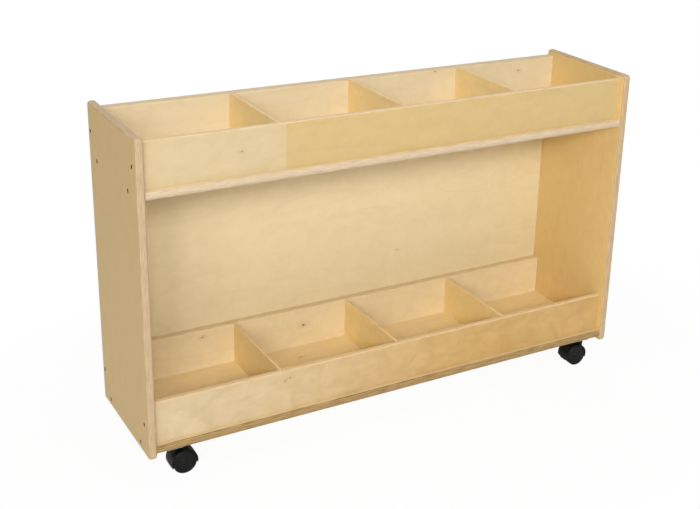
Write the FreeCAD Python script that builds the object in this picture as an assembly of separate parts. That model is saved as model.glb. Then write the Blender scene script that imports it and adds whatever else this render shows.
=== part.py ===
import FreeCAD, Part
import math
import os

# Picture book browser bin: a birch plywood case on four swivel casters.
# Two rows of four open bins, one at the top and one at the bottom, stand between
# two side panels, with an open display space and a thin back panel between them.
#
# Millimetres. X runs across the case (+X is the right side seen from the front),
# Y runs from front (-Y) to back (+Y), Z is up. The origin is on the floor, under
# the middle of the case.

Vector = FreeCAD.Vector

# ---- case ------------------------------------------------------------------
width = 1219.2              # over the outer faces of the side panels
depth = 304.8               # front edge to rear edge of a side panel
side_height = 702.0         # length of a side panel
side_ply = 18.0             # thickness of a side panel
side_nose_flat = 6.2        # flat left along the middle of a side panel's rounded edges
side_corner_step = 2.5      # a side panel's corner radius beyond its edge rounding
side_drop = 9.0             # how far the side panels hang below the lower shelf
board_arris = 3.0           # rounding along the top of a lip or rail

# ---- shelves ---------------------------------------------------------------
shelf_ply = 18.0
shelf_setback = 3.0         # shelf front edge behind the side panels' front edge
shelf_nose_flat = 1.0       # flat left along the middle of a shelf's rounded front edge

# ---- front lips and back rails ---------------------------------------------
lip_ply = 15.0
lip_setback = 17.5          # lip front face behind the side panels' front edge
lip_below_top = 11.0        # upper lip's top edge below the side panels' top
upper_lip_height = 99.5
lower_lip_height = 97.0
rail_ply = 18.0
upper_rail_height = 96.0
lower_rail_height = 100.5

# ---- back panel ------------------------------------------------------------
panel_ply = 6.0
rabbet_width = 9.0          # how far the panel reaches into each side panel
panel_clearance = 0.5       # between the panel's edges and its rabbets
panel_arris = 1.0

# ---- dividers --------------------------------------------------------------
bin_count = 4               # bins in each row
divider_ply = 6.0
divider_height = 99.0
divider_arris = 2.0
groove_depth = 5.0          # grooves in the lips and rails that hold the dividers
groove_stop = 14.0          # from a divider's top down to the top of its tongues
groove_clearance = 0.15

# ---- screws through the side panels ----------------------------------------
head_radius = 4.6
head_height = 3.0
head_clearance = 0.4
counterbore_depth = 3.5
socket_flats = 4.0
socket_depth = 2.0
shank_radius = 2.5
shank_length = 34.0
shank_point = 1.5
side_hole_clearance = 0.25
pilot_clearance = 0.05
pilot_end_gap = 0.5
shelf_screw_front = 55.0    # front shelf screws behind the side panels' front edge
shelf_screw_rear = 50.0     # rear shelf screws in front of the rear edge

# ---- screws through the back panel -----------------------------------------
panel_screw_columns = 5
panel_screw_inset = 40.0    # first and last column from the side panels' inner faces
panel_screw_head = 3.2
panel_screw_shank = 1.6
panel_screw_length = 16.0
panel_screw_cone = 1.8
panel_screw_sink = 0.2      # head below the panel's rear face

# ---- casters ---------------------------------------------------------------
caster_height = 67.0        # floor to the underside of the lower shelf
caster_side_inset = 62.0    # swivel axis from a side panel's outer face
caster_end_inset = 30.0     # swivel axis from the case's front or rear edge
caster_trail = 19.0         # axle behind the swivel axis
wheel_headroom = 14.0       # top of a wheel to the underside of the lower shelf
wheel_width = 15.6
wheel_rim_wall = 3.5
wheel_disc_wall = 3.0
wheel_tread_round = 2.0
wheel_dish_depth = 1.2
wheel_cap_radius = 8.0
wheel_rim_face = 3.6        # width of the flat ring outside the dish
wheel_hub_radius = 6.0
wheel_rib_count = 6
wheel_rib_ply = 1.6
wheel_rib_setback = 2.0     # ribs stop short of the wheel's inner face
wheel_side_gap = 0.25       # hub face to the web's thrust boss
axle_radius = 3.0
axle_clearance = 0.05
axle_end_gap = 0.3
axle_cover = 3.0            # wheel material left outside the axle's end
snap_from_end = 2.4         # middle of the snap groove from the axle's end
snap_groove_depth = 0.45
snap_groove_width = 1.8
snap_bead_height = 0.3
snap_bead_width = 1.0
web_ply = 8.4
web_hub_radius = 9.5
thrust_boss_radius = 6.0
thrust_boss_height = 0.3
hood_gap = 0.9              # wheel tread to the hood's inside
hood_rim_wall = 2.0
hood_crown = 0.8            # extra wall at the middle of the hood
hood_rim_round = 0.5
hood_lead_drop = 9.0        # hood's leading end below the axle
hood_trail_drop = 6.0       # hood's trailing end below the axle
neck_radius = 10.5
neck_gap = 0.3              # neck top to the kingpin's collar
neck_chamfer = 1.0
neck_dome_rise = 23.0       # centre of the neck's domed underside above the axle
kingpin_radius = 4.0
kingpin_clearance = 0.05
kingpin_reach = 14.5        # collar's underside to the pin's end
kingpin_end_gap = 0.5
collar_radius = 8.0
collar_height = 1.5
rivet_radius = 5.5
rivet_height = 1.5
ring_from_end = 2.6         # middle of the retaining ring from the pin's end
ring_wall = 1.1
ring_height = 1.2
ring_bite = 0.6             # how deep the ring sits in the pin
ring_gap = 0.3              # ring to the recess in the neck
plate_size = 38.0
plate_ply = 2.5
plate_corner = 5.0
plate_pitch = 28.0          # between screw holes
plate_hole_radius = 2.3
plate_screw_radius = 2.0
plate_screw_length = 13.0
plate_screw_head = 3.6
plate_screw_head_height = 2.2
plate_screw_head_wall = 1.0  # straight side of the head
plate_screw_crown = 2.7     # radius of the flat on the head
cross_slot_width = 0.9
cross_slot_length = 3.8
cross_slot_depth = 1.2

# ---- places worked out from the sizes ---------------------------------------
half_width = width / 2
half_depth = depth / 2
inner_x = half_width - side_ply
side_nose = (side_ply - side_nose_flat) / 2
side_corner = side_nose + side_corner_step
shelf_nose = (shelf_ply - shelf_nose_flat) / 2
side_bottom = caster_height - side_drop
side_top = side_bottom + side_height
lower_deck = caster_height + shelf_ply
upper_deck = side_top - lip_below_top - upper_lip_height
shelf_front = shelf_setback - half_depth
lip_front = lip_setback - half_depth
lip_back = lip_front + lip_ply
panel_front = half_depth - panel_ply
rail_front = panel_front - rail_ply
panel_bottom = lower_deck - shelf_ply
panel_top = upper_deck + upper_rail_height
tongue_height = divider_height - groove_stop
bin_width = (2 * inner_x - (bin_count - 1) * divider_ply) / bin_count
divider_places = [-inner_x + bin_width * n + divider_ply * (n - 0.5) for n in range(1, bin_count)]
wheel_radius = (caster_height - wheel_headroom) / 2
boss_half = web_ply / 2 + thrust_boss_height
wheel_inside = boss_half + wheel_side_gap
wheel_outside = wheel_inside + wheel_width
axle_half = wheel_outside - axle_cover - axle_end_gap
plate_bottom = caster_height - plate_ply
collar_bottom = plate_bottom - collar_height
neck_top = collar_bottom - neck_gap
kingpin_end = collar_bottom - kingpin_reach
ring_middle = kingpin_end + ring_from_end


# ---- general helpers ---------------------------------------------------------
def box(x_range, y_range, z_range):
    """A box between two places along each axis."""
    low = Vector(x_range[0], y_range[0], z_range[0])
    return Part.makeBox(x_range[1] - x_range[0], y_range[1] - y_range[0], z_range[1] - z_range[0], low)


def rod(radius, start, end):
    """A round bar from start to end."""
    return Part.makeCylinder(radius, (end - start).Length, start, end - start)


def at(value, place):
    """True where a coordinate is at a place."""
    return abs(value - place) < 1e-4


def spans(edge, axis):
    """True for a straight edge along the named axis."""
    ends = [vertex.Point for vertex in edge.Vertexes]
    if len(ends) != 2:
        return False
    run = ends[1] - ends[0]
    return at(abs(getattr(run, axis)), run.Length)


def round_edges(shape, radius, wanted):
    """Round each edge of shape for which wanted(edge, its centre) holds."""
    edges = [edge for edge in shape.Edges if wanted(edge, edge.CenterOfMass)]
    return shape.makeFillet(radius, edges)


def revolved(points, centre, axis):
    """Turn a closed outline all the way round an axis through centre."""
    outline = Part.Face(Part.makePolygon(points + points[:1]))
    return outline.revolve(centre, axis, 360)


def without(shape, tools):
    """The shape with every tool cut from it."""
    return shape.cut(tools) if tools else shape


def mirrored(shape):
    """The same shape on the other side of the case."""
    return shape.mirror(Vector(0, 0, 0), Vector(1, 0, 0))


def export(name, shape):
    """Write one node: a solid, or a group of separate solids."""
    shape.exportStep("parts/" + name + ".step")


# ---- screws through the side panels ------------------------------------------
def side_screw_places():
    """(y, z) of the screws that enter each side panel."""
    lip_middle = (lip_front + lip_back) / 2
    rail_middle = (rail_front + panel_front) / 2
    places = []
    for deck, lip_height, rail_height in ((upper_deck, upper_lip_height, upper_rail_height),
                                          (lower_deck, lower_lip_height, lower_rail_height)):
        places.append((lip_middle, deck + lip_height / 2))
        places.append((rail_middle, deck + rail_height / 2))
        places.append((shelf_screw_front - half_depth, deck - shelf_ply / 2))
        places.append((half_depth - shelf_screw_rear, deck - shelf_ply / 2))
    return places


def side_screw(y, z):
    """A socket-head screw that enters the left side panel from outside."""
    seat = counterbore_depth - half_width
    top = seat - head_height
    tip = seat + shank_length
    outline = [(top, 0), (top, head_radius), (seat, head_radius), (seat, shank_radius),
               (tip - shank_point, shank_radius), (tip, shank_radius - shank_point / 2), (tip, 0)]
    screw = revolved([Vector(x, y, z + r) for x, r in outline], Vector(0, y, z), Vector(1, 0, 0))
    corners = [Vector(top, y + socket_flats / math.sqrt(3) * math.cos(math.radians(60 * n)),
                      z + socket_flats / math.sqrt(3) * math.sin(math.radians(60 * n))) for n in range(7)]
    socket = Part.Face(Part.makePolygon(corners)).extrude(Vector(socket_depth, 0, 0))
    return screw.cut(socket)


def side_holes(y, z):
    """The counterbore and the clearance hole for one screw in the left side panel."""
    outside = Vector(-half_width - 1, y, z)
    seat = Vector(counterbore_depth - half_width, y, z)
    inside = Vector(1 - inner_x, y, z)
    return [rod(head_radius + head_clearance, outside, seat),
            rod(shank_radius + side_hole_clearance, outside, inside)]


def pilot_holes():
    """Pilot holes in the board ends, for the screws of both side panels."""
    holes = []
    for y, z in side_screw_places():
        end = counterbore_depth - half_width + shank_length + pilot_end_gap
        hole = rod(shank_radius + pilot_clearance, Vector(-inner_x - 1, y, z), Vector(end, y, z))
        holes += [hole, mirrored(hole)]
    return holes


# ---- screws through the back panel -------------------------------------------
def panel_screw_places():
    """(x, z) of the screws that hold the back panel to the shelves and rails."""
    first = panel_screw_inset - inner_x
    step = -2 * first / (panel_screw_columns - 1)
    heights = (lower_deck - shelf_ply / 2, lower_deck + lower_rail_height / 2,
               upper_deck - shelf_ply / 2, upper_deck + upper_rail_height / 2)
    return [(first + step * n, z) for z in heights for n in range(panel_screw_columns)]


def panel_screw(x, z, clearance=0.0):
    """A countersunk screw from the rear; with a clearance, the hole that takes it."""
    face = half_depth - panel_screw_sink
    neck = face - panel_screw_cone
    end = face - panel_screw_length - clearance
    outer = half_depth + 1 if clearance else face
    head = panel_screw_head + clearance
    shank = panel_screw_shank + clearance
    outline = [(outer, 0), (outer, head), (face, head), (neck, shank), (end, shank), (end, 0)]
    if not clearance:
        outline.pop(1)
    return revolved([Vector(x, y, z + r) for y, r in outline], Vector(x, 0, z), Vector(0, 1, 0))


# ---- boards --------------------------------------------------------------------
def side_panel():
    """The left side panel: rounded corners and edges, rear rabbet and counterbored holes."""
    blank = box((-half_width, -inner_x), (-half_depth, half_depth), (side_bottom, side_top))
    blank = round_edges(blank, side_corner, lambda edge, mid: spans(edge, "x"))
    blank = round_edges(blank, side_nose,
                        lambda edge, mid: at(abs(mid.x), half_width) or at(abs(mid.x), inner_x))
    rabbet = box((-inner_x - rabbet_width, -inner_x + 1), (panel_front, half_depth + 1),
                 (panel_bottom - panel_clearance, panel_top + panel_clearance))
    holes = [hole for y, z in side_screw_places() for hole in side_holes(y, z)]
    return without(blank, [rabbet] + holes)


def shelf(deck):
    """A shelf under a deck height, with a rounded front edge."""
    board = box((-inner_x, inner_x), (shelf_front, panel_front), (deck - shelf_ply, deck))
    return round_edges(board, shelf_nose, lambda edge, mid: spans(edge, "x") and at(mid.y, shelf_front))


def grooves(face, into, deck):
    """Stopped grooves for a row of dividers; into is +1 or -1, away from the bins."""
    cuts = []
    for x in divider_places:
        half = divider_ply / 2 + groove_clearance
        ends = sorted((face - into, face + into * groove_depth))
        cuts.append(box((x - half, x + half), ends, (deck - 1, deck + tongue_height + groove_clearance)))
    return cuts


def lip(deck, height):
    """A front lip that stands on a shelf, rounded along its top."""
    board = box((-inner_x, inner_x), (lip_front, lip_back), (deck, deck + height))
    board = round_edges(board, board_arris, lambda edge, mid: spans(edge, "x") and at(mid.z, deck + height))
    return without(board, grooves(lip_back, -1, deck))


def rail(deck, height):
    """A back rail that stands on a shelf against the back panel."""
    board = box((-inner_x, inner_x), (rail_front, panel_front), (deck, deck + height))
    board = round_edges(board, board_arris, lambda edge, mid: spans(edge, "x")
                        and at(mid.z, deck + height) and at(mid.y, rail_front))
    return without(board, grooves(rail_front, 1, deck))


def back_panel():
    """The thin back panel, let into both side panels."""
    reach = inner_x + rabbet_width - panel_clearance
    board = box((-reach, reach), (panel_front, half_depth), (panel_bottom, panel_top))
    return round_edges(board, panel_arris, lambda edge, mid: spans(edge, "x")
                       and at(mid.z, panel_top) and at(mid.y, half_depth))


def divider(x, deck):
    """A divider whose front and rear tongues sit in the grooves."""
    reach = groove_depth - groove_clearance
    blank = box((x - divider_ply / 2, x + divider_ply / 2), (lip_back, rail_front),
                (deck, deck + divider_height))
    blank = round_edges(blank, divider_arris,
                        lambda edge, mid: spans(edge, "y") and at(mid.z, deck + divider_height))
    tongues = box((x - divider_ply / 2, x + divider_ply / 2), (lip_back - reach, rail_front + reach),
                  (deck, deck + tongue_height))
    return blank.fuse(tongues).removeSplitter()


# ---- casters -------------------------------------------------------------------
# Each caster is drawn at the origin with its swivel axis on Z and its axle behind it,
# towards +X, and is then turned and moved to its corner.
def caster_axle():
    """The axle: a steel pin pressed into the web, with a snap groove near each end."""
    groove = axle_half - snap_from_end
    waist = axle_radius - snap_groove_depth
    half_groove = snap_groove_width / 2
    half = [(groove - half_groove, axle_radius), (groove - half_groove, waist),
            (groove + half_groove, waist), (groove + half_groove, axle_radius), (axle_half, axle_radius)]
    outline = [(-axle_half, 0)] + [(-y, r) for y, r in reversed(half)] + half + [(axle_half, 0)]
    points = [Vector(caster_trail, y, wheel_radius - r) for y, r in outline]
    return revolved(points, Vector(caster_trail, 0, wheel_radius), Vector(0, 1, 0))


def wheel_outline():
    """Half section of a wheel as (distance from its inner face, radius) pairs."""
    bore = axle_radius + axle_clearance
    bore_end = wheel_width - axle_cover
    bead = bore_end - axle_end_gap - snap_from_end
    bead_radius = bore - snap_bead_height
    half_bead = snap_bead_width / 2
    disc_inside = wheel_width - wheel_dish_depth - wheel_disc_wall
    dish = wheel_width - wheel_dish_depth
    rim_inner = wheel_radius - wheel_rim_wall
    dish_outer = wheel_radius - wheel_rim_face
    bore_side = [(bore_end, 0), (bore_end, bore), (bead + half_bead, bore), (bead + half_bead, bead_radius),
                 (bead - half_bead, bead_radius), (bead - half_bead, bore), (0, bore), (0, wheel_hub_radius)]
    hollow = [(disc_inside, wheel_hub_radius), (disc_inside, rim_inner), (0, rim_inner)]
    tread = [(0, wheel_radius), (wheel_width, wheel_radius)]
    face = [(wheel_width, dish_outer), (dish, dish_outer - wheel_dish_depth),
            (dish, wheel_cap_radius + wheel_dish_depth), (wheel_width, wheel_cap_radius), (wheel_width, 0)]
    return bore_side + hollow + tread + face


def tread_corner(edge, mid):
    """True for the two round edges of a wheel's tread."""
    return not spans(edge, "y") and at(edge.BoundBox.ZMax, 2 * wheel_radius)


def caster_wheel():
    """A hollow moulded wheel on the +Y side of the web, ribbed inside."""
    centre = Vector(caster_trail, 0, wheel_radius)
    points = [Vector(caster_trail, wheel_inside + a, wheel_radius - r) for a, r in wheel_outline()]
    wheel = round_edges(revolved(points, centre, Vector(0, 1, 0)), wheel_tread_round, tread_corner)
    rib = box((caster_trail + wheel_hub_radius - 1, caster_trail + wheel_radius - wheel_rim_wall + 1),
              (wheel_inside + wheel_rib_setback, wheel_outside - wheel_dish_depth - wheel_disc_wall + 1),
              (wheel_radius - wheel_rib_ply / 2, wheel_radius + wheel_rib_ply / 2))
    ribs = []
    for n in range(wheel_rib_count):
        ribs.append(rib.copy())
        ribs[-1].rotate(centre, Vector(0, 1, 0), 360.0 * n / wheel_rib_count)
    return wheel.fuse(ribs).removeSplitter()


def hood_shell():
    """The crowned cover over both wheels, as a section turned about the axle."""
    inner = wheel_radius + hood_gap
    rim = inner + hood_rim_wall
    half = wheel_outside
    crown = Part.Arc(Vector(0, -half + hood_rim_round, rim), Vector(0, 0, rim + hood_crown),
                     Vector(0, half - hood_rim_round, rim)).toShape()
    path = [Vector(0, half - hood_rim_round, rim), Vector(0, half, rim - hood_rim_round),
            Vector(0, half, inner), Vector(0, -half, inner), Vector(0, -half, rim - hood_rim_round),
            Vector(0, -half + hood_rim_round, rim)]
    section = Part.Face(Part.Wire([crown] + [Part.makeLine(a, b) for a, b in zip(path, path[1:])]))
    lead = math.degrees(math.asin(hood_lead_drop / rim))
    trail = math.degrees(math.asin(hood_trail_drop / rim))
    section.rotate(Vector(0, 0, 0), Vector(0, 1, 0), 90 + trail)
    shell = section.revolve(Vector(0, 0, 0), Vector(0, 1, 0), -(180 + lead + trail))
    shell.translate(Vector(caster_trail, 0, wheel_radius))
    return shell


def hood_web():
    """The web between the wheels, with the thrust bosses round the axle."""
    rim = wheel_radius + hood_gap + hood_rim_wall / 2
    lead = math.asin(hood_lead_drop / rim)
    trail = math.asin(hood_trail_drop / rim)
    centre = Vector(0, 0, 0)
    angles = (-trail, math.pi / 2, math.pi + lead)
    ends = [Vector(rim * math.cos(angle), 0, rim * math.sin(angle)) for angle in angles]
    sector = Part.Wire([Part.makeLine(centre, ends[0]), Part.Arc(*ends).toShape(),
                        Part.makeLine(ends[2], centre)])
    web = Part.Face(sector).extrude(Vector(0, web_ply, 0))
    web.translate(Vector(0, -web_ply / 2, 0))
    hub = rod(web_hub_radius, Vector(0, -web_ply / 2, 0), Vector(0, web_ply / 2, 0))
    boss = rod(thrust_boss_radius, Vector(0, -boss_half, 0), Vector(0, boss_half, 0))
    web = web.fuse([hub, boss])
    web.translate(Vector(caster_trail, 0, wheel_radius))
    return web


def hood_neck():
    """The neck that turns on the kingpin, domed where it runs into the hood."""
    dome_centre = Vector(0, 0, wheel_radius + neck_dome_rise)
    neck = rod(neck_radius, dome_centre, Vector(0, 0, neck_top))
    neck = neck.makeChamfer(neck_chamfer, [edge for edge in neck.Edges if at(edge.CenterOfMass.z, neck_top)])
    return neck.fuse(Part.makeSphere(neck_radius, dome_centre)).removeSplitter()


def kingpin_bore():
    """The neck's bore with the recess for the retaining ring."""
    bore = rod(kingpin_radius + kingpin_clearance, Vector(0, 0, kingpin_end - kingpin_end_gap),
               Vector(0, 0, neck_top + 1))
    reach = kingpin_radius - ring_bite + ring_wall + ring_gap
    half = ring_height / 2 + ring_gap
    recess = rod(reach, Vector(0, 0, ring_middle - half), Vector(0, 0, ring_middle + half))
    return [bore, recess]


def wheel_well():
    """The space that one wheel turns in, on the +Y side of the web."""
    return rod(wheel_radius + hood_gap, Vector(caster_trail, web_ply / 2, wheel_radius),
               Vector(caster_trail, wheel_outside + 1, wheel_radius))


def caster_hood():
    """The moulded hood: cover, web, thrust bosses and neck in one piece."""
    well = wheel_well()
    other_well = well.mirror(Vector(0, 0, 0), Vector(0, 1, 0))
    neck = hood_neck().cut([well, other_well])
    hood = hood_shell().fuse([hood_web(), neck]).removeSplitter()
    axle_hole = rod(axle_radius, Vector(caster_trail, -wheel_outside, wheel_radius),
                    Vector(caster_trail, wheel_outside, wheel_radius))
    return hood.cut([axle_hole] + kingpin_bore())


def caster_kingpin():
    """The kingpin: riveted into the plate, with a collar and a ring groove."""
    bite = kingpin_radius - ring_bite
    half = ring_height / 2
    outline = [(0, caster_height), (rivet_radius, caster_height),
               (kingpin_radius, caster_height - rivet_height), (kingpin_radius, plate_bottom),
               (collar_radius, plate_bottom), (collar_radius, collar_bottom),
               (kingpin_radius, collar_bottom), (kingpin_radius, ring_middle + half),
               (bite, ring_middle + half), (bite, ring_middle - half),
               (kingpin_radius, ring_middle - half), (kingpin_radius, kingpin_end), (0, kingpin_end)]
    return revolved([Vector(r, 0, z) for r, z in outline], Vector(0, 0, 0), Vector(0, 0, 1))


def kingpin_ring():
    """The retaining ring that keeps the neck on the kingpin."""
    inner = kingpin_radius - ring_bite
    outer = inner + ring_wall
    half = ring_height / 2
    outline = [(inner, ring_middle - half), (outer, ring_middle - half),
               (outer, ring_middle + half), (inner, ring_middle + half)]
    return revolved([Vector(r, 0, z) for r, z in outline], Vector(0, 0, 0), Vector(0, 0, 1))


def plate_screw_places():
    """(x, y) of the four screws of a mounting plate."""
    half = plate_pitch / 2
    return [(x, y) for x in (-half, half) for y in (-half, half)]


def caster_plate():
    """The square mounting plate with its screw holes and the rivet's seat."""
    half = plate_size / 2
    plate = box((-half, half), (-half, half), (plate_bottom, caster_height))
    plate = round_edges(plate, plate_corner, lambda edge, mid: spans(edge, "z"))
    outline = [(0, caster_height + 1), (rivet_radius, caster_height + 1), (rivet_radius, caster_height),
               (kingpin_radius, caster_height - rivet_height), (kingpin_radius, plate_bottom - 1),
               (0, plate_bottom - 1)]
    cuts = [revolved([Vector(r, 0, z) for r, z in outline], Vector(0, 0, 0), Vector(0, 0, 1))]
    cuts += [rod(plate_hole_radius, Vector(x, y, plate_bottom - 1), Vector(x, y, caster_height + 1))
             for x, y in plate_screw_places()]
    return plate.cut(cuts)


def plate_screw(x, y):
    """A pan-head wood screw with a cross recess, driven up into the lower shelf."""
    foot = plate_bottom - plate_screw_head_height
    tip = plate_bottom + plate_ply + plate_screw_length
    outline = [(0, foot), (plate_screw_crown, foot),
               (plate_screw_head, plate_bottom - plate_screw_head_wall),
               (plate_screw_head, plate_bottom), (plate_screw_radius, plate_bottom),
               (plate_screw_radius, tip - plate_screw_radius), (0, tip)]
    screw = revolved([Vector(x + r, y, z) for r, z in outline], Vector(x, y, 0), Vector(0, 0, 1))
    long_half = cross_slot_length / 2
    thin_half = cross_slot_width / 2
    depth_range = (foot - 1, foot + cross_slot_depth)
    slots = [box((x - long_half, x + long_half), (y - thin_half, y + thin_half), depth_range),
             box((x - thin_half, x + thin_half), (y - long_half, y + long_half), depth_range)]
    return screw.cut(slots)


def plate_screw_pilots():
    """Pilot holes in a caster's own frame for its plate screws."""
    radius = plate_screw_radius + pilot_clearance
    end = caster_height + plate_screw_length + pilot_end_gap
    return [rod(radius, Vector(x, y, caster_height - 1), Vector(x, y, end)) for x, y in plate_screw_places()]


def caster_corners():
    """Name, x, y and turn of each caster; both pairs trail towards the middle of the case."""
    x = half_width - caster_side_inset
    y = half_depth - caster_end_inset
    return [("front_left", -x, -y, 0.0), ("front_right", x, -y, 180.0),
            ("rear_left", -x, y, 0.0), ("rear_right", x, y, 180.0)]


def placed(shape, x, y, turn):
    """A copy of a caster piece, turned about its swivel axis and moved to a corner."""
    copy = shape.copy()
    copy.rotate(Vector(0, 0, 0), Vector(0, 0, 1), turn)
    copy.translate(Vector(x, y, 0))
    return copy


def caster_pieces():
    """The pieces of one caster in its own frame, with the name that each gets."""
    wheel = caster_wheel()
    return {
        "plate": caster_plate(),
        "plate_screws": Part.makeCompound([plate_screw(x, y) for x, y in plate_screw_places()]),
        "kingpin": caster_kingpin(),
        "kingpin_ring": kingpin_ring(),
        "hood": caster_hood(),
        "axle": caster_axle(),
        "left_wheel": wheel,
        "right_wheel": wheel.mirror(Vector(0, 0, 0), Vector(0, 1, 0)),
    }


# ---- the whole case --------------------------------------------------------------
def woodwork():
    """Every board of the case, by name."""
    panel_screw_holes = [panel_screw(x, z, pilot_clearance) for x, z in panel_screw_places()]
    pilots = pilot_holes()
    caster_pilots = [placed(hole, x, y, turn) for _, x, y, turn in caster_corners()
                     for hole in plate_screw_pilots()]
    left_side = side_panel()
    boards = {
        "left_side_panel": left_side,
        "right_side_panel": mirrored(left_side),
        "upper_shelf": without(shelf(upper_deck), pilots + panel_screw_holes),
        "lower_shelf": without(shelf(lower_deck), pilots + panel_screw_holes + caster_pilots),
        "upper_front_lip": without(lip(upper_deck, upper_lip_height), pilots),
        "lower_front_lip": without(lip(lower_deck, lower_lip_height), pilots),
        "upper_back_rail": without(rail(upper_deck, upper_rail_height), pilots + panel_screw_holes),
        "lower_back_rail": without(rail(lower_deck, lower_rail_height), pilots + panel_screw_holes),
        "back_panel": without(back_panel(), panel_screw_holes),
    }
    for row, deck in (("upper", upper_deck), ("lower", lower_deck)):
        for number, x in enumerate(divider_places, 1):
            boards[row + "_divider_" + str(number)] = divider(x, deck)
    return boards


def main():
    """Build every piece and write one file for each node."""
    os.makedirs("parts", exist_ok=True)
    for name, board in woodwork().items():
        export(name, board)
    left_screws = Part.makeCompound([side_screw(y, z) for y, z in side_screw_places()])
    export("left_side_screws", left_screws)
    export("right_side_screws", mirrored(left_screws))
    export("back_panel_screws", Part.makeCompound([panel_screw(x, z) for x, z in panel_screw_places()]))
    pieces = caster_pieces()
    for corner, x, y, turn in caster_corners():
        for name, piece in pieces.items():
            export(corner + "_caster_" + name, placed(piece, x, y, turn))


main()
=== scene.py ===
"""Looks of the picture book browser bin: lacquered birch plywood on black twin-wheel casters.

Each sub-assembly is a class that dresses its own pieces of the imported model. Lengths in the
finishes are real millimetres, and the meshes are in metres.
"""

import logging
import math
from dataclasses import dataclass
from enum import Enum
from typing import Any, Dict, List, Optional, Tuple

import bpy
from mathutils import Matrix, Vector


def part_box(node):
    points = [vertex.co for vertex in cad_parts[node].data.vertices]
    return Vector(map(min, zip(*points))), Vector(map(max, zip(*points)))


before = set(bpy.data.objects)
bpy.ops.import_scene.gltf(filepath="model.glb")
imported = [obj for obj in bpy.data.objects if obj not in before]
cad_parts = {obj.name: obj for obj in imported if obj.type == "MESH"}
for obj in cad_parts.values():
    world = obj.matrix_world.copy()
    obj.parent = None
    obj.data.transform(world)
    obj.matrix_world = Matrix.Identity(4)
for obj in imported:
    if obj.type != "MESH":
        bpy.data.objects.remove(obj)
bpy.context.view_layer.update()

LOG = logging.getLogger("browser_bin")
MM = 0.001

Rgba = Tuple[float, float, float, float]
Triple = Tuple[float, float, float]
Span = Tuple[float, float]
Socket = bpy.types.NodeSocket
Tree = bpy.types.NodeTree
Material = bpy.types.Material


class Axis(Enum):
    """An axis of the case, by its place in a vector."""

    X = 0
    Y = 1
    Z = 2


class Pattern(Enum):
    """Offset that gives each pattern of the plywood its own part of the noise."""

    STREAK = 3.0
    FLAME = 11.0
    FIBRE = 17.0
    PORE = 23.0
    RING = 29.0
    PLY_BAND = 41.0
    PLY_WANDER = 47.0
    PLY_SPECK = 53.0


def linear(hex_colour: str) -> Rgba:
    """Turn an sRGB hex colour into linear light.

    Args:
        hex_colour: six hex digits after a hash mark.

    Returns:
        Linear red, green, blue and an alpha of one.
    """
    values = [int(hex_colour[n:n + 2], 16) / 255 for n in (1, 3, 5)]
    lit = [v / 12.92 if v <= 0.04045 else ((v + 0.055) / 1.055) ** 2.4 for v in values]
    return (lit[0], lit[1], lit[2], 1.0)


def add(tree: Tree, kind: str, values: Optional[Dict[Any, Any]] = None,
        links: Optional[Dict[Any, Socket]] = None, **settings: Any) -> bpy.types.Node:
    """Add one node with its settings, its input values and the links into it.

    Args:
        tree: the node tree that gets the node.
        kind: the node's type name.
        values: input name or number, and the value set on it.
        links: input name or number, and the socket linked to it.
        settings: attributes of the node itself.

    Returns:
        The new node.
    """
    node = tree.nodes.new(kind)
    for name, value in settings.items():
        setattr(node, name, value)
    for name, value in (values or {}).items():
        node.inputs[name].default_value = value
    for name, socket in (links or {}).items():
        tree.links.new(socket, node.inputs[name])
    return node


def empty_material(name: str) -> Material:
    """Make a material with an empty node tree."""
    material = bpy.data.materials.new(name)
    material.use_nodes = True
    material.node_tree.nodes.clear()
    return material


def dress(node: str, material: Material) -> None:
    """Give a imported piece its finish."""
    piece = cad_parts[node]
    piece.data.materials.clear()
    piece.data.materials.append(material)
    LOG.info("dressed %s with %s", node, material.name)


@dataclass(frozen=True)
class EdgeTone:
    """Colours of a plywood edge: its long-grain plies and its end-grain plies."""

    light: str
    dark: str


PALE_EDGE = EdgeTone("#D5C4A8", "#BAA07E")
SIDE_EDGE = EdgeTone("#C8B28E", "#AF906C")
BROWN_EDGE = EdgeTone("#B59868", "#7C6036")
# Painted highlight: the ply colours of the lips, rails and dividers are lightened to stand in for
# the light that falls on their top edges.
LIP_EDGE_PAINTED_LIGHT = EdgeTone("#E8D0A8", "#CAA97C")
RAIL_EDGE_PAINTED_LIGHT = EdgeTone("#E0CDA6", "#C5A77D")
DIVIDER_EDGE_PAINTED_LIGHT = EdgeTone("#F0D4A6", "#D2AD7C")


@dataclass(frozen=True)
class Knot:
    """A pin knot: its place along the grain and beside it, and its radius, in millimetres."""

    along: float
    beside: float
    radius: float


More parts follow.
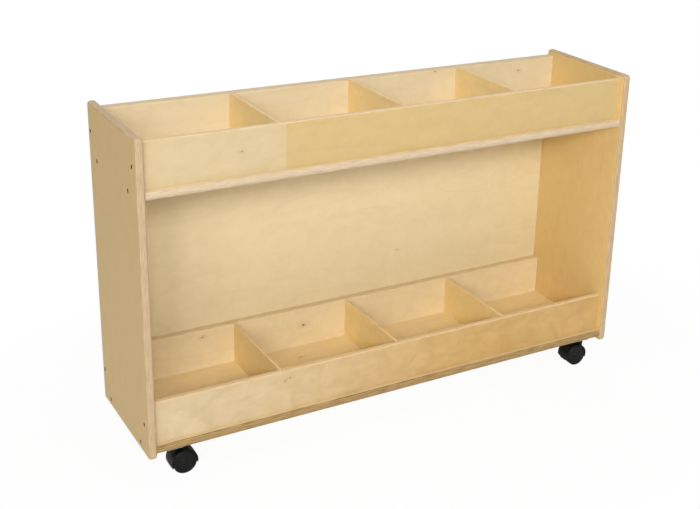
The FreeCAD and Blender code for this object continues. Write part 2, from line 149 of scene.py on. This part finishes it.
@dataclass(frozen=True)
class BirchPlywood:
    """Rotary-cut birch plywood, sanded and sprayed with a satin lacquer.

    The face is pale and even, with long soft streaks and cloudy flames where the fibres lean in
    and out of the light, faint growth rings, fine pores and a few pin knots. Below the thin face
    veneer, a rounded edge or a drilled hole shows the crossed plies. Sizes are millimetres, and a
    pair of sizes is along the grain and across it.
    """

    name: str
    across: Axis
    grain: Axis
    low_face: float
    high_face: float
    seed: float
    near: str
    far: str
    change: Span
    edge_tone: EdgeTone
    streak: float
    flame: float
    flame_size: float
    knots: Tuple[Knot, ...]
    # Painted shade: the share of the edge's colour mixed into the ledge in front of a lip, which
    # darkens it.
    ledge_shade: float

    # The way the noise is moved from one pattern or board to the next.
    apart: Triple = (1.0, 0.7, -1.0)

    # The lacquered surface.
    ior: float = 1.5
    gloss: float = 0.25
    roughness: Span = (0.42, 0.54)
    pore_bump: float = 0.12
    pore_depth: float = 0.1

    # The face veneer. Real fibres and pores are under a tenth of a millimetre wide, too fine to
    # show, so both are drawn about ten times as coarse.
    sapwood: Triple = (1.06, 1.06, 1.07)
    heartwood: Triple = (0.92, 0.90, 0.84)
    middle_tone: float = 0.4
    fibre: float = 0.12
    fibre_size: Span = (60.0, 1.3)
    streak_size: Span = (420.0, 24.0)
    flame_stretch: float = 1.3
    flame_bend: float = 0.9
    ring_colour: str = "#B98F58"
    ring_size: Span = (475.0, 95.0)
    rings: float = 7.0
    ring_line: Span = (0.84, 1.0)
    ring_share: float = 0.06
    pore_size: Span = (11.0, 0.7)
    pore_line: Span = (0.62, 0.74)
    pore_share: float = 0.12
    knot_colour: str = "#5E4024"
    knot_squash: float = 0.55
    knot_halo: float = 6.0
    knot_halo_share: float = 0.3
    knot_core: float = 0.6

    # The plies under the veneer: 13 in an 18 mm board, each wandering a little.
    veneer: float = 0.3
    veneer_blend: float = 0.15
    ply: float = 1.4
    ply_wander: float = 1.6
    ply_wander_size: float = 80.0
    ply_line: Span = (0.16, 0.34)
    ply_share: float = 0.4
    band_size: Span = (30.0, 1.6)
    band_share: float = 2.0
    speck_size: float = 2.0
    speck_share: float = 0.5
    dark_bias: float = 0.25

    # Painted shade: the ledge in front of a lip, where the edge's colour is mixed into the face to
    # make it darker and paler, ends here, from front to back.
    ledge_end: Span = (-135.5, -134.5)

    def material(self) -> Material:
        """Build the plywood of one board."""
        material = empty_material(self.name)
        tree = material.node_tree
        coords = add(tree, "ShaderNodeTexCoord").outputs["Object"]
        place = add(tree, "ShaderNodeVectorMath", {1: (1 / MM, 1 / MM, 1 / MM)}, {0: coords},
                    operation="MULTIPLY").outputs[0]
        by_axis = add(tree, "ShaderNodeSeparateXYZ", links={0: place}).outputs
        face, pores = self.face(tree, place, by_axis[self.grain.value])
        edge = self.edge(tree, place, by_axis[self.across.value])
        face_share_less_ledge_shade = self.face_share_with_ledge_shade(tree, by_axis[self.across.value], by_axis[Axis.Y.value])
        colour = add(tree, "ShaderNodeMix", links={0: face_share_less_ledge_shade, 6: edge, 7: face},
                     data_type="RGBA").outputs[2]
        rough = add(tree, "ShaderNodeMapRange",
                    {"To Min": self.roughness[0], "To Max": self.roughness[1]},
                    {"Value": pores}).outputs["Result"]
        bump = add(tree, "ShaderNodeBump",
                   {"Strength": self.pore_bump, "Distance": self.pore_depth * MM},
                   {"Height": pores}).outputs[0]
        shader = add(tree, "ShaderNodeBsdfPrincipled",
                     {"IOR": self.ior, "Specular IOR Level": self.gloss},
                     {"Base Color": colour, "Roughness": rough, "Normal": bump})
        add(tree, "ShaderNodeOutputMaterial", links={"Surface": shader.outputs[0]})
        return material

    def pattern(self, tree: Tree, place: Socket, kind: Pattern, steps: Triple,
                detail: float, distortion: float = 0.0) -> Socket:
        """Draw one of the wood's patterns with its own step length along each axis.

        Args:
            tree: the material's node tree.
            place: the place in millimetres.
            kind: which pattern it is.
            steps: length of one step along each axis, in millimetres.
            detail: finer layers added to the pattern.
            distortion: how far the pattern is bent by itself.

        Returns:
            The pattern's strength, centred on a half and mostly between 0.3 and 0.7.
        """
        move = self.seed + kind.value
        mapped = add(tree, "ShaderNodeMapping",
                     {"Scale": tuple(1 / step for step in steps),
                      "Location": tuple(move * part for part in self.apart)},
                     {"Vector": place}).outputs[0]
        return add(tree, "ShaderNodeTexNoise",
                   {"Scale": 1.0, "Detail": detail, "Distortion": distortion},
                   {"Vector": mapped}).outputs[0]

    def grained(self, size: Span) -> Triple:
        """Step lengths of a pattern that is drawn out along the grain."""
        x, y, z = (size[0] if axis is self.grain else size[1] for axis in Axis)
        return (x, y, z)

    def layered(self, size: Span) -> Triple:
        """Step lengths of a pattern that follows the plies."""
        x, y, z = (size[1] if axis is self.across else size[0] for axis in Axis)
        return (x, y, z)

    def face_share_with_ledge_shade(self, tree: Tree, depth: Socket, front: Socket) -> Socket:
        """Find how much of the face veneer is left at a place, less on a ledge in front of a lip,
        which gets painted shade.

        Args:
            tree: the material's node tree.
            depth: the place along the board's thickness, in millimetres.
            front: the place from front to back, in millimetres.

        Returns:
            One on a face, nought on an edge or in a hole, and less on a ledge in front of a lip,
            which gets painted shade.
        """
        middle = (self.low_face + self.high_face) / 2
        skin = (self.high_face - self.low_face) / 2 - self.veneer
        away = add(tree, "ShaderNodeMath", {1: middle}, {0: depth}, operation="SUBTRACT").outputs[0]
        away = add(tree, "ShaderNodeMath", links={0: away}, operation="ABSOLUTE").outputs[0]
        left = add(tree, "ShaderNodeMapRange",
                   {"From Min": skin - self.veneer_blend, "From Max": skin + self.veneer_blend},
                   {"Value": away}, interpolation_type="SMOOTHSTEP").outputs["Result"]
        if not self.ledge_shade:
            return left
        # Painted shade: the ledge in front of a lip takes part of the edge's colour, which darkens
        # it.
        ledge_shade_mask = add(tree, "ShaderNodeMapRange",
                   {"From Min": self.ledge_end[0], "From Max": self.ledge_end[1],
                    "To Min": 1.0 - self.ledge_shade}, {"Value": front}).outputs["Result"]
        return add(tree, "ShaderNodeMath", links={0: left, 1: ledge_shade_mask},
                   operation="MULTIPLY").outputs[0]

    def face(self, tree: Tree, place: Socket, along: Socket) -> Tuple[Socket, Socket]:
        """Draw the face veneer.

        Args:
            tree: the material's node tree.
            place: the place in millimetres.
            along: the place along the grain, in millimetres.

        Returns:
            The face's colour, and its pores as a height from nought to one.
        """
        flame_size = (self.flame_stretch * self.flame_size, self.flame_size)
        streaks = self.pattern(tree, place, Pattern.STREAK, self.grained(self.streak_size), 3.0)
        flames = self.pattern(tree, place, Pattern.FLAME, self.grained(flame_size), 3.0,
                              self.flame_bend)
        fibres = self.pattern(tree, place, Pattern.FIBRE, self.grained(self.fibre_size), 2.0)
        start = self.middle_tone - (self.streak + self.flame + self.fibre) / 2
        tone = add(tree, "ShaderNodeMath", {1: self.streak, 2: start}, {0: streaks},
                   operation="MULTIPLY_ADD").outputs[0]
        for drawn, weight in ((flames, self.flame), (fibres, self.fibre)):
            tone = add(tree, "ShaderNodeMath", {1: weight}, {0: drawn, 2: tone},
                       operation="MULTIPLY_ADD").outputs[0]
        changed = add(tree, "ShaderNodeMapRange",
                      {"From Min": self.change[0], "From Max": self.change[1]},
                      {"Value": along}, interpolation_type="SMOOTHSTEP").outputs["Result"]
        colour = add(tree, "ShaderNodeMix", {6: linear(self.near), 7: linear(self.far)},
                     {0: changed}, data_type="RGBA").outputs[2]
        shade = add(tree, "ShaderNodeMix", {4: self.sapwood, 5: self.heartwood}, {0: tone},
                    data_type="VECTOR").outputs[1]
        colour = add(tree, "ShaderNodeVectorMath", links={0: colour, 1: shade},
                     operation="MULTIPLY").outputs[0]

        waves = self.pattern(tree, place, Pattern.RING, self.grained(self.ring_size), 1.0)
        waves = add(tree, "ShaderNodeMath", {1: self.rings}, {0: waves},
                    operation="MULTIPLY").outputs[0]
        ring = add(tree, "ShaderNodeMath", {1: 1.0}, {0: waves}, operation="PINGPONG").outputs[0]
        ring = add(tree, "ShaderNodeMapRange",
                   {"From Min": self.ring_line[0], "From Max": self.ring_line[1],
                    "To Max": self.ring_share},
                   {"Value": ring}, interpolation_type="SMOOTHSTEP").outputs["Result"]
        pores = self.pattern(tree, place, Pattern.PORE, self.grained(self.pore_size), 1.0)
        pores = add(tree, "ShaderNodeMapRange",
                    {"From Min": self.pore_line[0], "From Max": self.pore_line[1]},
                    {"Value": pores}, interpolation_type="SMOOTHSTEP").outputs["Result"]
        faint = add(tree, "ShaderNodeMath", {1: self.pore_share}, {0: pores},
                    operation="MULTIPLY").outputs[0]
        for share in (ring, faint):
            colour = add(tree, "ShaderNodeMix", {7: linear(self.ring_colour)},
                         {0: share, 6: colour}, data_type="RGBA").outputs[2]
        for knot in self.knots:
            colour = self.pin_knot(tree, place, colour, knot)
        return colour, pores

    def pin_knot(self, tree: Tree, place: Socket, colour: Socket, knot: Knot) -> Socket:
        """Draw one pin knot, a small dark spot in a warmer ring.

        Args:
            tree: the material's node tree.
            place: the place in millimetres.
            colour: the colour under the knot.
            knot: the knot's place and size.

        Returns:
            The colour with the knot.
        """
        beside = next(axis for axis in Axis if axis not in (self.across, self.grain))
        centre = [0.0, 0.0, 0.0]
        centre[self.grain.value], centre[beside.value] = knot.along, knot.beside
        squash = [1.0, 1.0, 1.0]
        squash[self.across.value], squash[self.grain.value] = 0.0, self.knot_squash
        away = add(tree, "ShaderNodeVectorMath", {1: tuple(centre)}, {0: place},
                   operation="SUBTRACT").outputs[0]
        flat = add(tree, "ShaderNodeVectorMath", {1: tuple(squash)}, {0: away},
                   operation="MULTIPLY").outputs[0]
        far = add(tree, "ShaderNodeVectorMath", links={0: flat},
                  operation="LENGTH").outputs["Value"]
        halo = add(tree, "ShaderNodeMapRange",
                   {"From Min": knot.radius, "From Max": knot.radius * self.knot_halo,
                    "To Min": self.knot_halo_share, "To Max": 0.0},
                   {"Value": far}).outputs["Result"]
        core = add(tree, "ShaderNodeMapRange",
                   {"From Min": knot.radius * self.knot_core, "From Max": knot.radius,
                    "To Min": 1.0, "To Max": 0.0}, {"Value": far}).outputs["Result"]
        for share, tint in ((halo, self.ring_colour), (core, self.knot_colour)):
            colour = add(tree, "ShaderNodeMix", {7: linear(tint)}, {0: share, 6: colour},
                         data_type="RGBA").outputs[2]
        return colour

    def edge(self, tree: Tree, place: Socket, depth: Socket) -> Socket:
        """Draw the crossed plies that a board's edges and holes show.

        Args:
            tree: the material's node tree.
            place: the place in millimetres.
            depth: the place along the board's thickness, in millimetres.

        Returns:
            The edge's colour.
        """
        pair = 2 * self.ply
        size = self.ply_wander_size
        wander = self.pattern(tree, place, Pattern.PLY_WANDER, (size, size, size), 2.0)
        depth = add(tree, "ShaderNodeMath", {1: self.ply_wander}, {0: wander, 2: depth},
                    operation="MULTIPLY_ADD").outputs[0]
        turns = add(tree, "ShaderNodeMath", {1: 1 / pair, 2: -self.low_face / pair}, {0: depth},
                    operation="MULTIPLY_ADD").outputs[0]
        part = add(tree, "ShaderNodeMath", links={0: turns}, operation="FRACT").outputs[0]
        wave = add(tree, "ShaderNodeMath", {1: 0.5}, {0: part}, operation="PINGPONG").outputs[0]
        share = add(tree, "ShaderNodeMapRange",
                    {"From Min": self.ply_line[0], "From Max": self.ply_line[1],
                     "To Max": self.ply_share},
                    {"Value": wave}, interpolation_type="SMOOTHSTEP").outputs["Result"]

        bands = self.pattern(tree, place, Pattern.PLY_BAND, self.layered(self.band_size), 3.0)
        size = self.speck_size
        specks = self.pattern(tree, place, Pattern.PLY_SPECK, (size, size, size), 3.0)
        start = self.dark_bias - (self.band_share + self.speck_share) / 2
        share = add(tree, "ShaderNodeMath", {1: start}, {0: share}, operation="ADD").outputs[0]
        for drawn, weight in ((bands, self.band_share), (specks, self.speck_share)):
            share = add(tree, "ShaderNodeMath", {1: weight}, {0: drawn, 2: share},
                        operation="MULTIPLY_ADD").outputs[0]
        return add(tree, "ShaderNodeMix",
                   {6: linear(self.edge_tone.light), 7: linear(self.edge_tone.dark)},
                   {0: share}, data_type="RGBA").outputs[2]


@dataclass(frozen=True)
class MouldedNylon:
    """Black nylon, injection moulded against a finely sparked tool.

    The surface is satin: broad soft highlights broken by a fine grain, and a black that clouds a
    little. The real grain is under a tenth of a millimetre, too fine to show, and is drawn as
    coarse as the grain length below.
    """

    name: str
    colour: str = "#080808"
    worn: str = "#0F0F10"
    grain: float = 0.7
    cloud: float = 18.0
    ior: float = 1.53
    gloss: float = 0.2
    roughness: Span = (0.38, 0.52)
    bump: float = 0.15
    bump_depth: float = 0.05

    def material(self) -> Material:
        """Build the nylon."""
        material = empty_material(self.name)
        tree = material.node_tree
        coords = add(tree, "ShaderNodeTexCoord").outputs["Object"]
        spark = add(tree, "ShaderNodeTexNoise", {"Scale": 1 / (self.grain * MM), "Detail": 3.0},
                    {"Vector": coords}).outputs[0]
        cloud = add(tree, "ShaderNodeTexNoise", {"Scale": 1 / (self.cloud * MM), "Detail": 2.0},
                    {"Vector": coords}).outputs[0]
        colour = add(tree, "ShaderNodeMix", {6: linear(self.colour), 7: linear(self.worn)},
                     {0: cloud}, data_type="RGBA").outputs[2]
        rough = add(tree, "ShaderNodeMapRange",
                    {"To Min": self.roughness[0], "To Max": self.roughness[1]},
                    {"Value": spark}).outputs["Result"]
        bump = add(tree, "ShaderNodeBump",
                   {"Strength": self.bump, "Distance": self.bump_depth * MM},
                   {"Height": spark}).outputs[0]
        shader = add(tree, "ShaderNodeBsdfPrincipled",
                     {"IOR": self.ior, "Specular IOR Level": self.gloss},
                     {"Base Color": colour, "Roughness": rough, "Normal": bump})
        add(tree, "ShaderNodeOutputMaterial", links={"Surface": shader.outputs[0]})
        return material


@dataclass(frozen=True)
class Steel:
    """Steel fastener or pressing, bright, zinc plated or blackened.

    It gives a hard narrow highlight, blurred by fine tool marks. The real marks are about a
    twentieth of a millimetre, too fine to show, and are drawn as coarse as the size below.
    """

    name: str
    colour: str
    marks: str
    roughness: Span
    mark_size: float = 0.6
    bump: float = 0.1
    bump_depth: float = 0.02

    def material(self) -> Material:
        """Build the steel."""
        material = empty_material(self.name)
        tree = material.node_tree
        coords = add(tree, "ShaderNodeTexCoord").outputs["Object"]
        marks = add(tree, "ShaderNodeTexNoise",
                    {"Scale": 1 / (self.mark_size * MM), "Detail": 4.0},
                    {"Vector": coords}).outputs[0]
        colour = add(tree, "ShaderNodeMix", {6: linear(self.colour), 7: linear(self.marks)},
                     {0: marks}, data_type="RGBA").outputs[2]
        rough = add(tree, "ShaderNodeMapRange",
                    {"To Min": self.roughness[0], "To Max": self.roughness[1]},
                    {"Value": marks}).outputs["Result"]
        bump = add(tree, "ShaderNodeBump",
                   {"Strength": self.bump, "Distance": self.bump_depth * MM},
                   {"Height": marks}).outputs[0]
        shader = add(tree, "ShaderNodeBsdfPrincipled", {"Metallic": 1.0},
                     {"Base Color": colour, "Roughness": rough, "Normal": bump})
        add(tree, "ShaderNodeOutputMaterial", links={"Surface": shader.outputs[0]})
        return material


@dataclass
class Board:
    """One plywood board of the case and the cut of plywood it is made from."""

    node: str
    across: Axis
    grain: Axis
    seed: float
    near: str
    far: Optional[str] = None
    change: Span = (-600.0, 600.0)
    edge_tone: EdgeTone = PALE_EDGE
    streak: float = 0.4
    flame: float = 1.1
    flame_size: float = 30.0
    knots: Tuple[Knot, ...] = ()
    # Painted shade: the share of the edge's colour mixed into the ledge in front of a lip, which
    # darkens it.
    ledge_shade: float = 0.0

    def dress(self) -> None:
        """Give the board its plywood, with the plies counted from its own faces."""
        low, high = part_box(self.node)
        axis = self.across.value
        finish = BirchPlywood(
            name="lacquered_birch_plywood_" + self.node, across=self.across, grain=self.grain,
            low_face=low[axis] / MM, high_face=high[axis] / MM, seed=self.seed, near=self.near,
            far=self.far or self.near, change=self.change, edge_tone=self.edge_tone,
            streak=self.streak, flame=self.flame, flame_size=self.flame_size, knots=self.knots,
            ledge_shade=self.ledge_shade)
        dress(self.node, finish.material())


@dataclass
class Case:
    """The plywood case: sides, shelves, lips, rails, back panel and dividers."""

    divider_count: int = 3
    veneer_seam: Span = (-288.0, -284.0)
    lower_lip_change: Span = (-600.0, 240.0)
    upper_divider_seed: float = 41.0
    lower_divider_seed: float = 53.0
    divider_seed_step: float = 4.0

    def sides(self) -> List[Board]:
        """List the side panels, with the grain upright."""
        return [
            Board("left_side_panel", Axis.X, Axis.Z, 2.0, near="#CFAF74", edge_tone=SIDE_EDGE,
                  streak=0.15, flame=0.55),
            Board("right_side_panel", Axis.X, Axis.Z, 5.0, near="#E4C587", edge_tone=SIDE_EDGE,
                  streak=0.3, flame=0.9),
        ]

    def long_boards(self) -> List[Board]:
        """List the boards that run from side to side, with the grain along them."""
        return [
            # Both shelves get painted shade on the ledge in front of their lips.
            Board("upper_shelf", Axis.Z, Axis.X, 9.0, near="#E9D2A3", ledge_shade=0.5),
            Board("lower_shelf", Axis.Z, Axis.X, 12.0, near="#E9D2A3", edge_tone=BROWN_EDGE,
                  ledge_shade=0.35, knots=(Knot(-151.6, 73.6, 1.6),)),
            # The lips' and rails' edge tones are lightened as a painted highlight on their top
            # edges.
            Board("upper_front_lip", Axis.Y, Axis.X, 17.0, near="#CBB78F", far="#C9AF7A",
                  change=self.veneer_seam, edge_tone=LIP_EDGE_PAINTED_LIGHT, knots=(Knot(-384.6, 701.0, 1.0),)),
            Board("lower_front_lip", Axis.Y, Axis.X, 21.0, near="#CEBA96", far="#C5A167",
                  change=self.lower_lip_change, edge_tone=LIP_EDGE_PAINTED_LIGHT, flame=3.2, flame_size=44.0,
                  knots=(Knot(-291.1, 158.0, 1.2), Knot(-278.6, 163.0, 1.2))),
            Board("upper_back_rail", Axis.Y, Axis.X, 26.0, near="#DCCCAB", edge_tone=RAIL_EDGE_PAINTED_LIGHT,
                  knots=(Knot(234.4, 742.0, 1.3), Knot(484.4, 719.0, 1.3))),
            Board("lower_back_rail", Axis.Y, Axis.X, 31.0, near="#E5D1A8", edge_tone=RAIL_EDGE_PAINTED_LIGHT,
                  knots=(Knot(-117.6, 139.0, 2.4), Knot(-378.6, 166.0, 1.4))),
            Board("back_panel", Axis.Y, Axis.X, 37.0, near="#E0CFA7", flame=0.8,
                  knots=(Knot(154.4, 282.0, 0.8),)),
        ]

    def dividers(self) -> List[Board]:
        """List the dividers, with the grain from front to back."""
        rows = (("upper", self.upper_divider_seed), ("lower", self.lower_divider_seed))
        # The dividers' edge tone is lightened as a painted highlight on their top edges.
        return [Board(f"{row}_divider_{number}", Axis.X, Axis.Y,
                      first_seed + self.divider_seed_step * number, near="#F0D69B",
                      edge_tone=DIVIDER_EDGE_PAINTED_LIGHT)
                for row, first_seed in rows for number in range(1, self.divider_count + 1)]

    def build(self) -> None:
        """Dress every board and the screws that hold them."""
        for board in self.sides() + self.long_boards() + self.dividers():
            board.dress()
        black = Steel("blackened_steel_side_screws", "#211C16", "#100D0A", (0.4, 0.55)).material()
        zinc = Steel("zinc_plated_steel_panel_screws", "#A9ABAD", "#8E9194",
                     (0.3, 0.45)).material()
        dress("left_side_screws", black)
        dress("right_side_screws", black)
        dress("back_panel_screws", zinc)


@dataclass
class Caster:
    """One hooded twin-wheel swivel caster."""

    corner: str

    def build(self, finishes: Dict[str, Material]) -> None:
        """Dress the caster's pieces.

        Args:
            finishes: the material of each kind of piece.
        """
        for piece, material in finishes.items():
            dress(f"{self.corner}_caster_{piece}", material)


def caster_finishes() -> Dict[str, Material]:
    """Make the finishes that all four casters share, by piece."""
    hood = MouldedNylon("moulded_black_nylon_hood").material()
    wheel = MouldedNylon("moulded_black_nylon_wheel", colour="#060606", worn="#0C0C0D",
                         grain=0.9).material()
    plate = Steel("zinc_plated_steel_plate", "#A4A7AA", "#878B90", (0.32, 0.5)).material()
    bright = Steel("turned_bright_steel_pin", "#B4B4B2", "#9A9A98", (0.2, 0.35)).material()
    return {"hood": hood, "left_wheel": wheel, "right_wheel": wheel, "plate": plate,
            "plate_screws": plate, "kingpin": bright, "kingpin_ring": bright, "axle": bright}


@dataclass(frozen=True)
class SoftLight:
    """A square soft light: its place, its side in metres, its power in watts.

    One that is not glossy lights surfaces without showing in their sheen.
    """

    name: str
    place: Triple
    size: float
    power: float
    glossy: bool = True

    def build(self, aim: Triple) -> None:
        """Hang the light and turn it to a point.

        Args:
            aim: the point it faces.
        """
        data = bpy.data.lights.new(self.name, "AREA")
        data.size = self.size
        data.energy = self.power
        light = bpy.data.objects.new(self.name, data)
        light.location = Vector(self.place)
        facing = Vector(aim) - Vector(self.place)
        light.rotation_euler = facing.to_track_quat("-Z", "Y").to_euler()
        light.visible_glossy = self.glossy
        bpy.context.collection.objects.link(light)


LIGHTS = (
    SoftLight("key", (-2.394, -6.578, 4.122), 1.5, 201.0),
    SoftLight("left_key", (-3.914, -5.803, 3.087), 1.0, 91.0),
    SoftLight("front_fill", (-0.61, -6.973, 3.967), 1.2, 73.0),
    SoftLight("left_fill", (-4.95, -4.95, 2.674), 1.2, 50.0),
    SoftLight("overhead", (-0.5, -0.8, 4.5), 2.5, 57.0),
    SoftLight("back_fill", (2.2, 6.6, 1.3), 2.0, 130.0, glossy=False),
)


@dataclass
class Studio:
    """The pale floor, the soft lights and the camera. Lengths are metres."""

    camera_place: Triple = (-1.27715, -2.2326, 1.44632)
    camera_yaw: float = 31.457
    camera_pitch: float = -20.198
    camera_roll: float = 2.005
    focal_pixels: float = 1186.53
    centre_pixels: Tuple[float, float] = (406.94, 197.01)
    frame_pixels: Tuple[int, int] = (700, 509)
    sensor_mm: float = 36.0
    view_depth: float = 100.0
    light_aim: Triple = (0.0, 0.0, 0.4)
    floor_half: float = 40.0
    floor_colour: str = "#F2F2F2"
    shadow_squash: Triple = (0.75, 1.1, 0.0)
    shadow_edge: Span = (0.6, 1.1)
    floor_glow: Span = (0.94, 1.0)
    room_light: float = 0.33
    sheen_rise: Span = (-0.2, 0.4)
    sheen: Span = (0.2, 0.5)

    def camera(self) -> None:
        """Place the camera and make it the scene's."""
        data = bpy.data.cameras.new("camera")
        data.sensor_fit = "HORIZONTAL"
        data.sensor_width = self.sensor_mm
        wide, high = self.frame_pixels
        data.lens = self.focal_pixels * self.sensor_mm / wide
        data.shift_x = (wide / 2 - self.centre_pixels[0]) / wide
        data.shift_y = (self.centre_pixels[1] - high / 2) / wide
        data.clip_end = self.view_depth
        yaw = math.radians(self.camera_yaw)
        pitch = math.radians(self.camera_pitch)
        roll = math.radians(self.camera_roll)
        forward = Vector((math.sin(yaw) * math.cos(pitch), math.cos(yaw) * math.cos(pitch),
                          math.sin(pitch)))
        level = forward.cross(Vector((0, 0, 1))).normalized()
        upright = level.cross(forward)
        right = level * math.cos(roll) + upright * math.sin(roll)
        up = upright * math.cos(roll) - level * math.sin(roll)
        turn = Matrix((right, up, -forward)).transposed().to_4x4()
        camera = bpy.data.objects.new("camera", data)
        camera.matrix_world = Matrix.Translation(Vector(self.camera_place)) @ turn
        bpy.context.collection.objects.link(camera)
        bpy.context.scene.camera = camera

    def floor_material(self) -> Material:
        """Build a pale floor that the camera sees near white, shadows and all."""
        material = empty_material("pale_floor")
        tree = material.node_tree
        seen = add(tree, "ShaderNodeLightPath").outputs["Is Camera Ray"]
        place = add(tree, "ShaderNodeTexCoord").outputs["Object"]
        away = add(tree, "ShaderNodeVectorMath", {1: self.shadow_squash}, {0: place},
                   operation="MULTIPLY").outputs[0]
        far = add(tree, "ShaderNodeVectorMath", links={0: away},
                  operation="LENGTH").outputs["Value"]
        white = add(tree, "ShaderNodeMapRange",
                    {"From Min": self.shadow_edge[0], "From Max": self.shadow_edge[1],
                     "To Min": self.floor_glow[0], "To Max": self.floor_glow[1]},
                    {"Value": far}, interpolation_type="SMOOTHSTEP").outputs["Result"]
        share = add(tree, "ShaderNodeMath", links={0: white, 1: seen},
                    operation="MULTIPLY").outputs[0]
        matt = add(tree, "ShaderNodeBsdfDiffuse", {"Color": linear(self.floor_colour)})
        glow = add(tree, "ShaderNodeEmission", {"Color": (1, 1, 1, 1), "Strength": 1.0})
        mixed = add(tree, "ShaderNodeMixShader",
                    links={0: share, 1: matt.outputs[0], 2: glow.outputs[0]})
        add(tree, "ShaderNodeOutputMaterial", links={"Surface": mixed.outputs[0]})
        return material

    def floor(self) -> None:
        """Lay the floor."""
        mesh = bpy.data.meshes.new("floor")
        half = self.floor_half
        corners = [(-half, -half, 0), (half, -half, 0), (half, half, 0), (-half, half, 0)]
        mesh.from_pydata(corners, [], [(0, 1, 2, 3)])
        mesh.materials.append(self.floor_material())
        floor = bpy.data.objects.new("floor", mesh)
        bpy.context.collection.objects.link(floor)

    def world(self) -> None:
        """Fill the room with soft white light, white behind the case and dimmer in a sheen."""
        world = bpy.data.worlds.new("studio")
        bpy.context.scene.world = world
        world.use_nodes = True
        tree = world.node_tree
        tree.nodes.clear()
        path = add(tree, "ShaderNodeLightPath").outputs
        place = add(tree, "ShaderNodeTexCoord").outputs["Generated"]
        back = add(tree, "ShaderNodeSeparateXYZ", links={0: place}).outputs[Axis.Y.value]
        sheen = add(tree, "ShaderNodeMapRange",
                    {"From Min": self.sheen_rise[0], "From Max": self.sheen_rise[1],
                     "To Min": self.sheen[0], "To Max": self.sheen[1]},
                    {"Value": back}).outputs["Result"]
        sheen = add(tree, "ShaderNodeMath", links={0: sheen, 1: path["Is Glossy Ray"]},
                    operation="MULTIPLY").outputs[0]
        seen = add(tree, "ShaderNodeMath", links={0: path["Is Camera Ray"], 1: sheen},
                   operation="MAXIMUM").outputs[0]
        level = add(tree, "ShaderNodeMapRange", {"To Min": self.room_light, "To Max": 1.0},
                    {"Value": seen}).outputs["Result"]
        shade = add(tree, "ShaderNodeBackground", {"Color": (1, 1, 1, 1)},
                    {"Strength": level}).outputs[0]
        add(tree, "ShaderNodeOutputWorld", links={"Surface": shade})

    def build(self) -> None:
        """Set up the whole studio."""
        self.camera()
        self.floor()
        self.world()
        for light in LIGHTS:
            light.build(self.light_aim)
        bpy.context.scene.view_settings.view_transform = "Standard"


def main() -> None:
    """Dress the browser bin and set up the studio."""
    logging.basicConfig(level=logging.INFO)
    Case().build()
    finishes = caster_finishes()
    for corner in ("front_left", "front_right", "rear_left", "rear_right"):
        Caster(corner).build(finishes)
    Studio().build()


if __name__ == "__main__":
    main()
